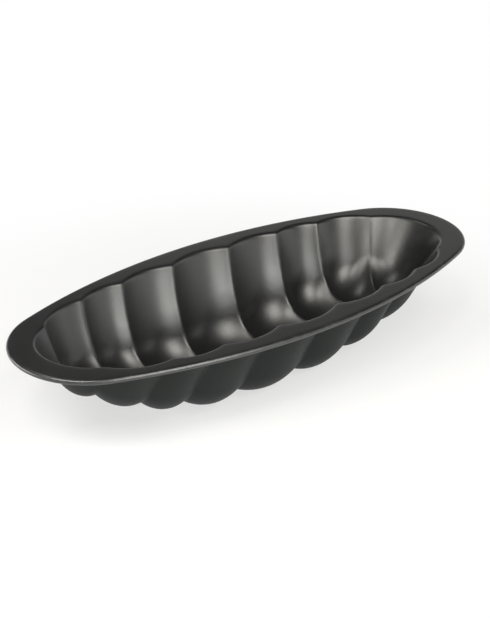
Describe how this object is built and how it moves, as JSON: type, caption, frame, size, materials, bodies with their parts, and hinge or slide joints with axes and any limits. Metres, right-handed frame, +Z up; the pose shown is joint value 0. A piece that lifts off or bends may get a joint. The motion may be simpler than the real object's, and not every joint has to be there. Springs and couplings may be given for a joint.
{
  "type": "braided brioche mould",
  "caption": "Long oval baking mould with a plaited, lobed cavity, a level flange and a rolled rim, for baking a braided loaf.",
  "frame": {"origin": "centre of the bounding box, at the height of the standing flats under the lobes", "axes": "+X along the mould's length, +Y across it towards the side that is far in the picture, +Z up out of the cavity"},
  "size_m": [0.344, 0.15, 0.062],
  "materials": {
    "lacquered_steel": "matte baked lacquer on cold-rolled sheet",
    "release_coat": "satin non-stick coat",
    "wire_steel": "bare drawn wire"
  },
  "bodies": {
    "root": {"pressed_steel_shell": "lacquered_steel", "release_coat": "release_coat", "rim_wire": "wire_steel"}
  },
  "joints": []
}
